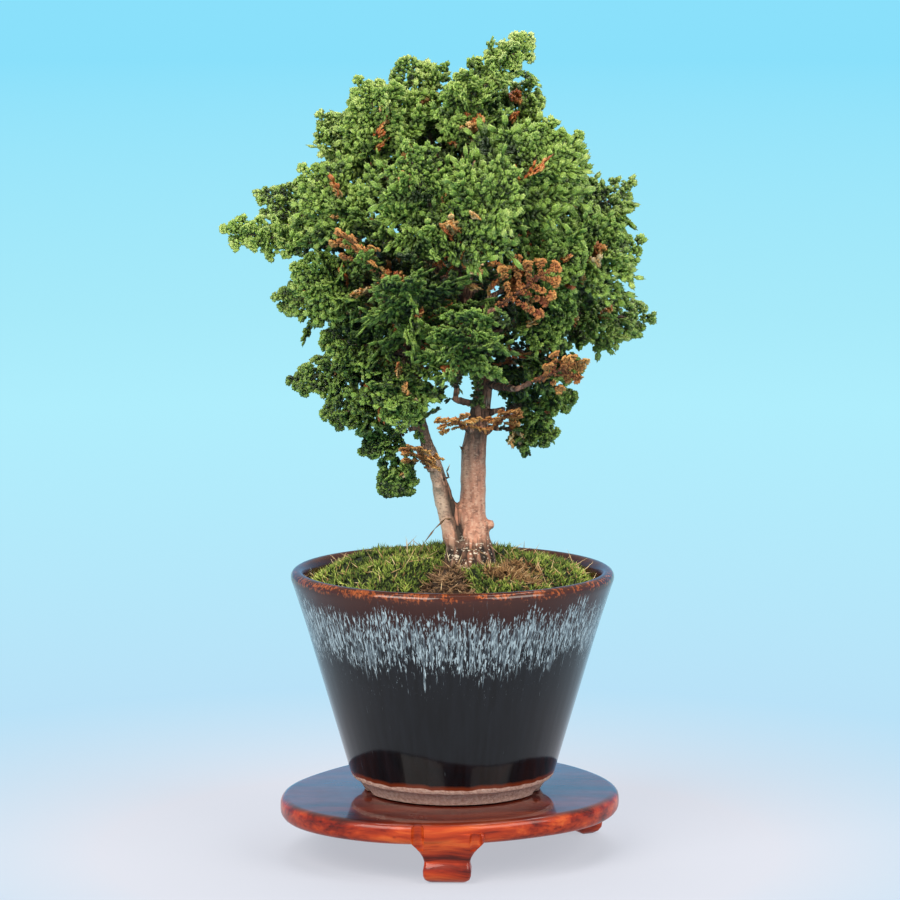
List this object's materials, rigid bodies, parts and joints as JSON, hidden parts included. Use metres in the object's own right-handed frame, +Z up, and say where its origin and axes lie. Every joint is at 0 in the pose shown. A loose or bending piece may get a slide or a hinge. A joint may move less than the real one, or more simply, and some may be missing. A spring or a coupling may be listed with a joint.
{
  "type": "potted bonsai tree",
  "caption": "Small twin-trunked sekka hinoki cypress bonsai with crested fronds, in a round glazed pot on a low lacquered wooden stand.",
  "frame": {"origin": "on the floor, under the middle of the whole bonsai's bounding box", "axes": "+Z up, the trunks' growing direction; the front, with the twin trunks side by side, faces -Y; +X is to the right of the front"},
  "size_m": [0.0994, 0.0786, 0.1908],
  "materials": {
    "green_foliage": "waxy scale leaves, satin",
    "dead_foliage": "dry, matte",
    "bark": "rough bark, matte",
    "moss": "soft, matte",
    "dry_moss": "soft, matte",
    "soil": "gritty, matte",
    "glaze": "dark gloss glaze with a pale streaked band",
    "lacquered_wood": "gloss lacquer",
    "mesh_plastic": "matte"
  },
  "bodies": {
    "root": {"drain_net": "mesh_plastic", "moss_back": "moss", "moss_dry_patch": "dry_moss", "moss_front_left": "moss", "moss_front_right": "moss", "moss_left": "moss", "moss_right": "moss", "pot": "glaze", "soil": "soil", "spray_dead_01": "dead_foliage", "spray_dead_02": "dead_foliage", "spray_dead_03": "dead_foliage", "spray_dead_04": "dead_foliage", "spray_dead_05": "dead_foliage", "spray_dead_06": "dead_foliage", "spray_green_01": "green_foliage", "spray_green_02": "green_foliage", "spray_green_03": "green_foliage", "spray_green_04": "green_foliage", "spray_green_05": "green_foliage", "spray_green_06": "green_foliage", "spray_green_07": "green_foliage", "spray_green_08": "green_foliage", "spray_green_09": "green_foliage", "spray_green_10": "green_foliage", "spray_green_11": "green_foliage", "spray_green_12": "green_foliage", "spray_green_13": "green_foliage", "spray_green_14": "green_foliage", "spray_green_15": "green_foliage", "spray_green_16": "green_foliage", "spray_green_17": "green_foliage", "spray_green_18": "green_foliage", "spray_green_19": "green_foliage", "spray_green_20": "green_foliage", "spray_green_21": "green_foliage", "spray_green_22": "green_foliage", "spray_green_23": "green_foliage", "spray_green_24": "green_foliage", "spray_green_25": "green_foliage", "spray_green_26": "green_foliage", "spray_green_27": "green_foliage", "spray_green_28": "green_foliage", "spray_green_29": "green_foliage", "spray_green_30": "green_foliage", "spray_green_31": "green_foliage", "spray_green_32": "green_foliage", "spray_green_33": "green_foliage", "spray_green_34": "green_foliage", "spray_green_35": "green_foliage", "spray_green_36": "green_foliage", "spray_green_37": "green_foliage", "spray_green_38": "green_foliage", "spray_green_39": "green_foliage", "spray_green_40": "green_foliage", "spray_green_41": "green_foliage", "spray_green_42": "green_foliage", "spray_green_43": "green_foliage", "stand": "lacquered_wood", "trunk": "bark"}
  },
  "joints": []
}
